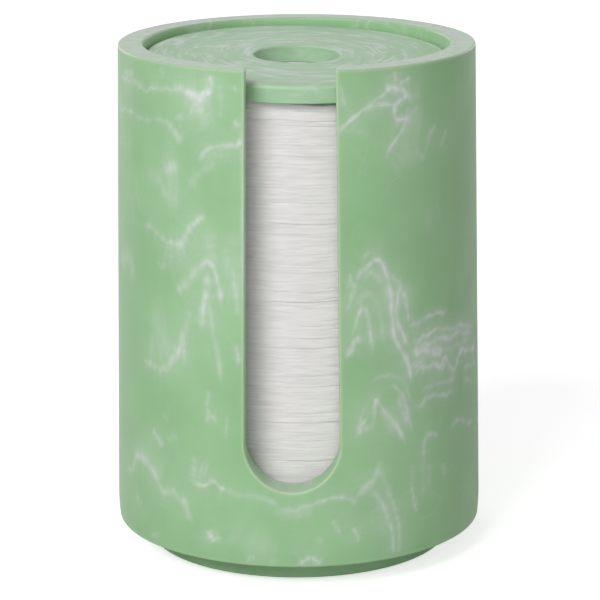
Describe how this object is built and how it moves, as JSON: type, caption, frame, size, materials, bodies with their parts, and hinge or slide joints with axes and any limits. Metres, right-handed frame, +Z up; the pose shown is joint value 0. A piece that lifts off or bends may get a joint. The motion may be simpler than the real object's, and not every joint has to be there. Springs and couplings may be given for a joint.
{
  "type": "cotton pad holder",
  "caption": "Round marbled resin holder with a U-shaped front slot, a weight lid with a finger hole, and a stack of cotton pads.",
  "frame": {"origin": "centre of the anti-slip pad's underside, where the holder's axis meets the surface it stands on", "axes": "+Z up along the holder's axis, -Y out through the slot, +X to the right when facing the slot"},
  "size_m": [0.0748, 0.0748, 0.103],
  "materials": {
    "marbled_resin": "satin, pale green with white marbling",
    "lid_resin": "satin, paler green with white marbling",
    "foot_resin": "satin, green",
    "foam": "matt closed-cell foam",
    "cotton": "soft white cotton fibre"
  },
  "bodies": {
    "holder": {"holder_body": "marbled_resin", "base_plug": "foot_resin", "anti_slip_pad": "foam"},
    "pad_stack": {"cotton_pad_01": "cotton", "cotton_pad_02": "cotton", "cotton_pad_03": "cotton", "cotton_pad_04": "cotton", "cotton_pad_05": "cotton", "cotton_pad_06": "cotton", "cotton_pad_07": "cotton", "cotton_pad_08": "cotton", "cotton_pad_09": "cotton", "cotton_pad_10": "cotton", "cotton_pad_11": "cotton", "cotton_pad_12": "cotton", "cotton_pad_13": "cotton", "cotton_pad_14": "cotton", "cotton_pad_15": "cotton", "cotton_pad_16": "cotton", "cotton_pad_17": "cotton", "cotton_pad_18": "cotton", "cotton_pad_19": "cotton", "cotton_pad_20": "cotton", "cotton_pad_21": "cotton", "cotton_pad_22": "cotton", "cotton_pad_23": "cotton", "cotton_pad_24": "cotton", "cotton_pad_25": "cotton", "cotton_pad_26": "cotton", "cotton_pad_27": "cotton", "cotton_pad_28": "cotton", "cotton_pad_29": "cotton", "cotton_pad_30": "cotton", "cotton_pad_31": "cotton", "cotton_pad_32": "cotton", "cotton_pad_33": "cotton", "cotton_pad_34": "cotton", "cotton_pad_35": "cotton", "cotton_pad_36": "cotton", "cotton_pad_37": "cotton", "cotton_pad_38": "cotton", "cotton_pad_39": "cotton", "cotton_pad_40": "cotton", "cotton_pad_41": "cotton", "cotton_pad_42": "cotton", "cotton_pad_43": "cotton"},
    "top_pad": {"cotton_pad_44": "cotton"},
    "lid": {"lid": "lid_resin"}
  },
  "joints": [
    {"name": "pad_stack_lift", "type": "slide", "parent": "holder", "child": "pad_stack", "axis": [0, 0, 1], "range_m": [0, 0.095]},
    {"name": "top_pad_lift", "type": "slide", "parent": "pad_stack", "child": "top_pad", "axis": [0, 0, 1], "range_m": [0, 0.03]},
    {"name": "lid_lift", "type": "slide", "parent": "top_pad", "child": "lid", "axis": [0, 0, 1], "range_m": [0, 0.04]}
  ]
}
